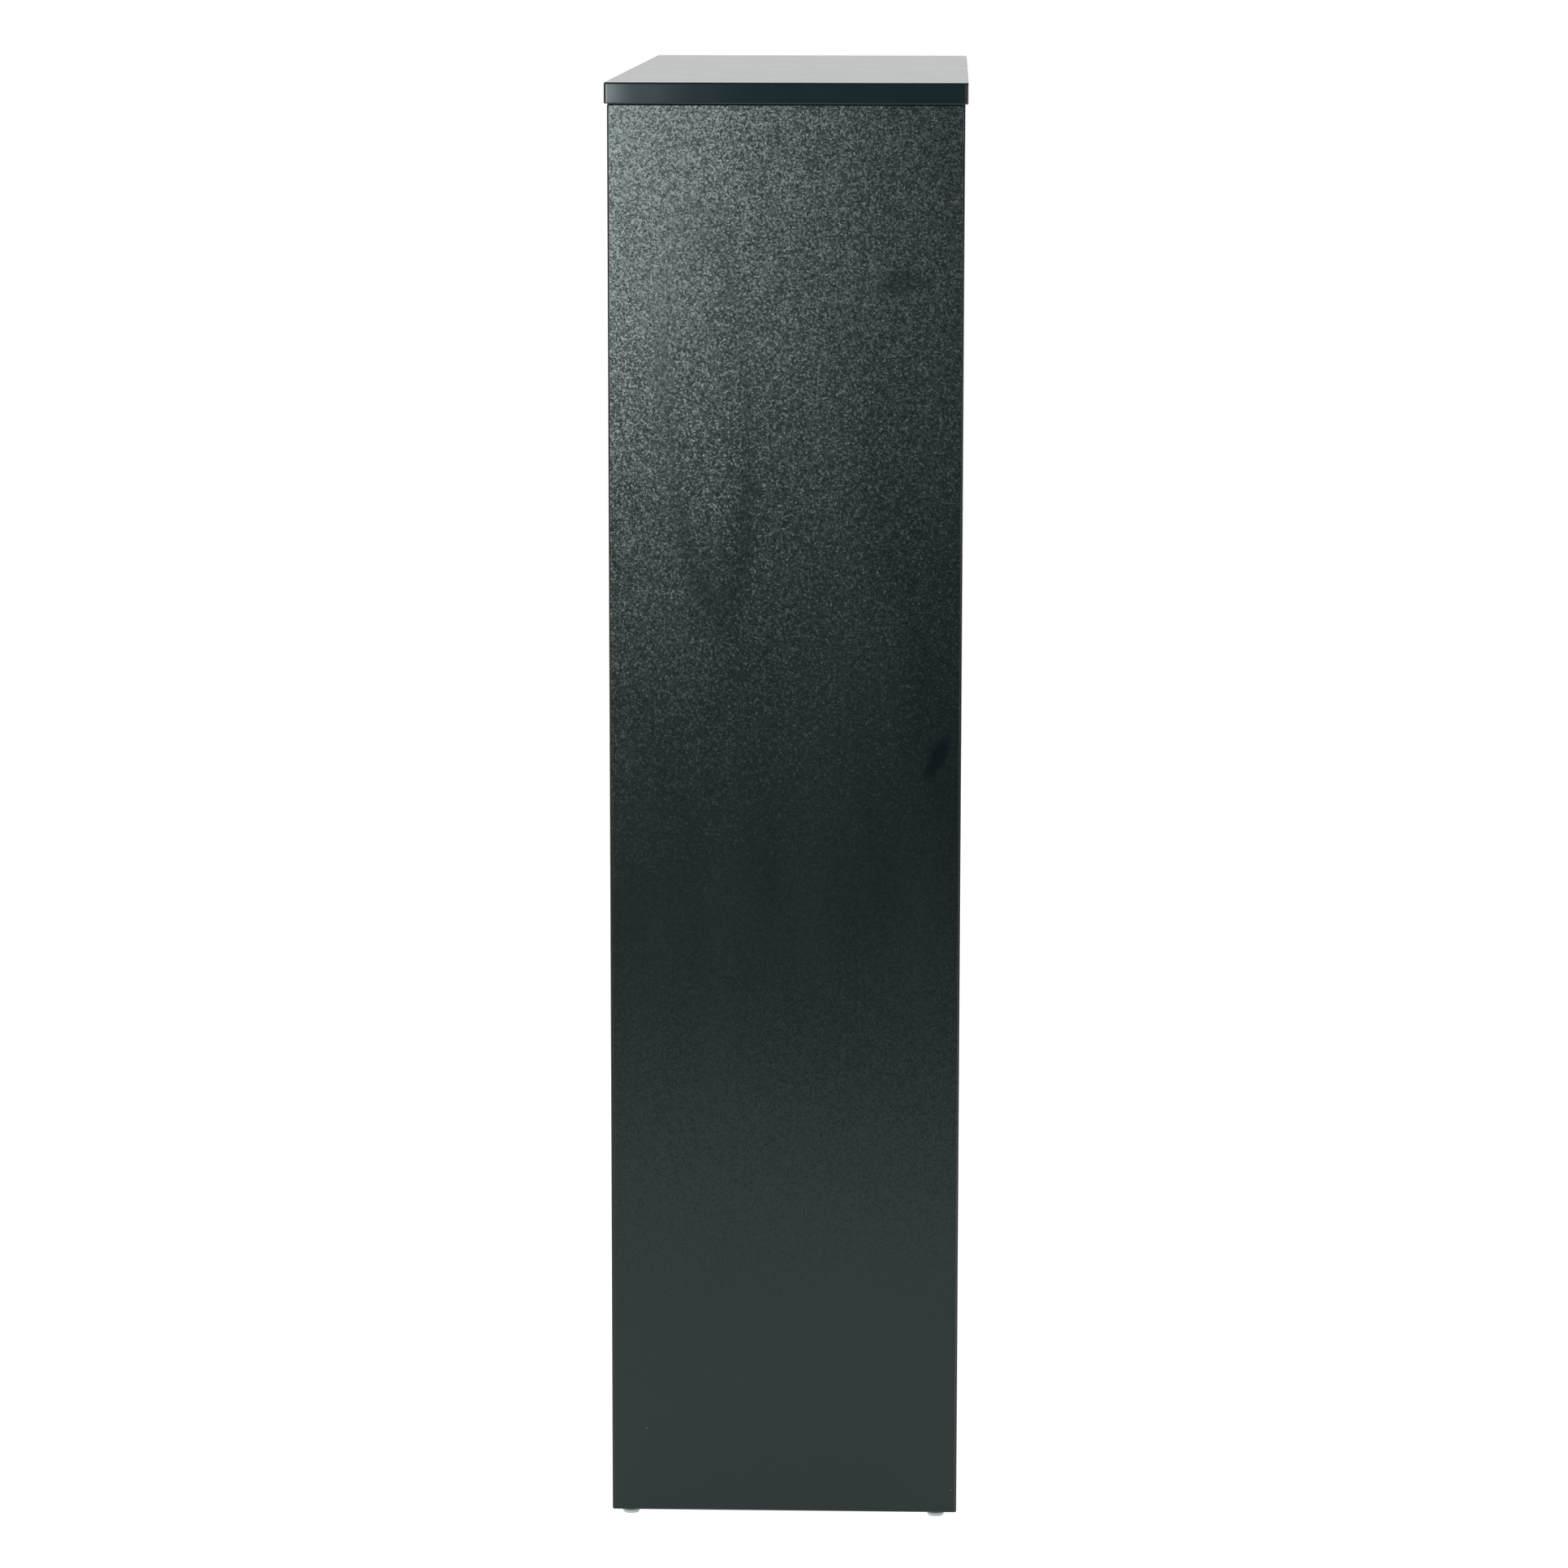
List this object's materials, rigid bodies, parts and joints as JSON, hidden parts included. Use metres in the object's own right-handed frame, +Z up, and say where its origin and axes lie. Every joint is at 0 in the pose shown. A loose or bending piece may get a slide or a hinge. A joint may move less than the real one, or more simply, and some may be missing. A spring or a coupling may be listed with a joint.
{
  "type": "tall chest of drawers",
  "caption": "Tall narrow-sided chest of wide handleless drawers on roller runners, dark pearl grey boards under a slightly overhanging top, standing on small plastic floor glides.",
  "frame": {"origin": "on the floor, under the middle of the chest", "axes": "+Z up, X along the width, the drawers face and open towards -Y"},
  "size_m": [0.8, 0.3, 1.22],
  "materials": {
    "charcoal_board": "foiled particle board, dark charcoal with a fine pearl structure",
    "back_hardboard": "hardboard, painted charcoal",
    "box_melamine": "grey melamine",
    "base_hardboard": "hardboard, light grey film",
    "strip_plastic": "extruded PVC",
    "zinc_alloy": "die-cast zinc alloy",
    "zinc_steel": "zinc-plated steel",
    "beech": "bare beech",
    "glide_plastic": "translucent white polyethylene",
    "runner_steel": "white epoxy coat",
    "roller_nylon": "white nylon"
  },
  "bodies": {
    "carcass": {"top_panel": "charcoal_board", "left_side_panel": "charcoal_board", "right_side_panel": "charcoal_board", "bottom_panel": "charcoal_board", "front_plinth_rail": "charcoal_board", "rear_plinth_rail": "charcoal_board", "front_top_rail": "charcoal_board", "rear_top_rail": "charcoal_board", "upper_back_panel": "back_hardboard", "lower_back_panel": "back_hardboard", "back_joining_strip": "strip_plastic", "cam_locks": "zinc_alloy", "cam_bolts": "zinc_steel", "wooden_dowels": "beech", "floor_glides": "glide_plastic", "glide_nails": "zinc_steel", "left_cabinet_runners": "runner_steel", "right_cabinet_runners": "runner_steel", "runner_screws": "zinc_steel"},
    "drawer_1": {"drawer_1_front": "charcoal_board", "drawer_1_left_side": "box_melamine", "drawer_1_right_side": "box_melamine", "drawer_1_back": "box_melamine", "drawer_1_base": "base_hardboard", "drawer_1_runners": "runner_steel"},
    "drawer_1_rear_rollers": {"drawer_1_rear_rollers": "roller_nylon"},
    "drawer_1_front_rollers": {"drawer_1_front_rollers": "roller_nylon"},
    "drawer_2": {"drawer_2_front": "charcoal_board", "drawer_2_left_side": "box_melamine", "drawer_2_right_side": "box_melamine", "drawer_2_back": "box_melamine", "drawer_2_base": "base_hardboard", "drawer_2_runners": "runner_steel"},
    "drawer_2_rear_rollers": {"drawer_2_rear_rollers": "roller_nylon"},
    "drawer_2_front_rollers": {"drawer_2_front_rollers": "roller_nylon"},
    "drawer_3": {"drawer_3_front": "charcoal_board", "drawer_3_left_side": "box_melamine", "drawer_3_right_side": "box_melamine", "drawer_3_back": "box_melamine", "drawer_3_base": "base_hardboard", "drawer_3_runners": "runner_steel"},
    "drawer_3_rear_rollers": {"drawer_3_rear_rollers": "roller_nylon"},
    "drawer_3_front_rollers": {"drawer_3_front_rollers": "roller_nylon"},
    "drawer_4": {"drawer_4_front": "charcoal_board", "drawer_4_left_side": "box_melamine", "drawer_4_right_side": "box_melamine", "drawer_4_back": "box_melamine", "drawer_4_base": "base_hardboard", "drawer_4_runners": "runner_steel"},
    "drawer_4_rear_rollers": {"drawer_4_rear_rollers": "roller_nylon"},
    "drawer_4_front_rollers": {"drawer_4_front_rollers": "roller_nylon"},
    "drawer_5": {"drawer_5_front": "charcoal_board", "drawer_5_left_side": "box_melamine", "drawer_5_right_side": "box_melamine", "drawer_5_back": "box_melamine", "drawer_5_base": "base_hardboard", "drawer_5_runners": "runner_steel"},
    "drawer_5_rear_rollers": {"drawer_5_rear_rollers": "roller_nylon"},
    "drawer_5_front_rollers": {"drawer_5_front_rollers": "roller_nylon"}
  },
  "joints": [
    {"name": "drawer_1_slide", "type": "slide", "parent": "carcass", "child": "drawer_1", "axis": [0, -1, 0], "range_m": [0, 0.19]},
    {"name": "drawer_1_rear_rollers_turn", "type": "hinge", "parent": "drawer_1", "child": "drawer_1_rear_rollers", "pos_m": [0, 0.101, 0.9843], "axis": [1, 0, 0], "range_deg": [0, 1220]},
    {"name": "drawer_1_front_rollers_turn", "type": "hinge", "parent": "carcass", "child": "drawer_1_front_rollers", "pos_m": [0, -0.1155, 0.9867], "axis": [1, 0, 0], "range_deg": [0, 1220]},
    {"name": "drawer_2_slide", "type": "slide", "parent": "carcass", "child": "drawer_2", "axis": [0, -1, 0], "range_m": [0, 0.19]},
    {"name": "drawer_2_rear_rollers_turn", "type": "hinge", "parent": "drawer_2", "child": "drawer_2_rear_rollers", "pos_m": [0, 0.101, 0.7633], "axis": [1, 0, 0], "range_deg": [0, 1220]},
    {"name": "drawer_2_front_rollers_turn", "type": "hinge", "parent": "carcass", "child": "drawer_2_front_rollers", "pos_m": [0, -0.1155, 0.7657], "axis": [1, 0, 0], "range_deg": [0, 1220]},
    {"name": "drawer_3_slide", "type": "slide", "parent": "carcass", "child": "drawer_3", "axis": [0, -1, 0], "range_m": [0, 0.19]},
    {"name": "drawer_3_rear_rollers_turn", "type": "hinge", "parent": "drawer_3", "child": "drawer_3_rear_rollers", "pos_m": [0, 0.101, 0.5423], "axis": [1, 0, 0], "range_deg": [0, 1220]},
    {"name": "drawer_3_front_rollers_turn", "type": "hinge", "parent": "carcass", "child": "drawer_3_front_rollers", "pos_m": [0, -0.1155, 0.5447], "axis": [1, 0, 0], "range_deg": [0, 1220]},
    {"name": "drawer_4_slide", "type": "slide", "parent": "carcass", "child": "drawer_4", "axis": [0, -1, 0], "range_m": [0, 0.19]},
    {"name": "drawer_4_rear_rollers_turn", "type": "hinge", "parent": "drawer_4", "child": "drawer_4_rear_rollers", "pos_m": [0, 0.101, 0.3213], "axis": [1, 0, 0], "range_deg": [0, 1220]},
    {"name": "drawer_4_front_rollers_turn", "type": "hinge", "parent": "carcass", "child": "drawer_4_front_rollers", "pos_m": [0, -0.1155, 0.3237], "axis": [1, 0, 0], "range_deg": [0, 1220]},
    {"name": "drawer_5_slide", "type": "slide", "parent": "carcass", "child": "drawer_5", "axis": [0, -1, 0], "range_m": [0, 0.19]},
    {"name": "drawer_5_rear_rollers_turn", "type": "hinge", "parent": "drawer_5", "child": "drawer_5_rear_rollers", "pos_m": [0, 0.101, 0.1003], "axis": [1, 0, 0], "range_deg": [0, 1220]},
    {"name": "drawer_5_front_rollers_turn", "type": "hinge", "parent": "carcass", "child": "drawer_5_front_rollers", "pos_m": [0, -0.1155, 0.1027], "axis": [1, 0, 0], "range_deg": [0, 1220]}
  ],
  "couplings": [
    {"joint": "drawer_1_rear_rollers_turn", "follows": "drawer_1_slide", "rad_per_m": 111.11},
    {"joint": "drawer_1_front_rollers_turn", "follows": "drawer_1_slide", "rad_per_m": 111.11},
    {"joint": "drawer_2_rear_rollers_turn", "follows": "drawer_2_slide", "rad_per_m": 111.11},
    {"joint": "drawer_2_front_rollers_turn", "follows": "drawer_2_slide", "rad_per_m": 111.11},
    {"joint": "drawer_3_rear_rollers_turn", "follows": "drawer_3_slide", "rad_per_m": 111.11},
    {"joint": "drawer_3_front_rollers_turn", "follows": "drawer_3_slide", "rad_per_m": 111.11},
    {"joint": "drawer_4_rear_rollers_turn", "follows": "drawer_4_slide", "rad_per_m": 111.11},
    {"joint": "drawer_4_front_rollers_turn", "follows": "drawer_4_slide", "rad_per_m": 111.11},
    {"joint": "drawer_5_rear_rollers_turn", "follows": "drawer_5_slide", "rad_per_m": 111.11},
    {"joint": "drawer_5_front_rollers_turn", "follows": "drawer_5_slide", "rad_per_m": 111.11}
  ]
}
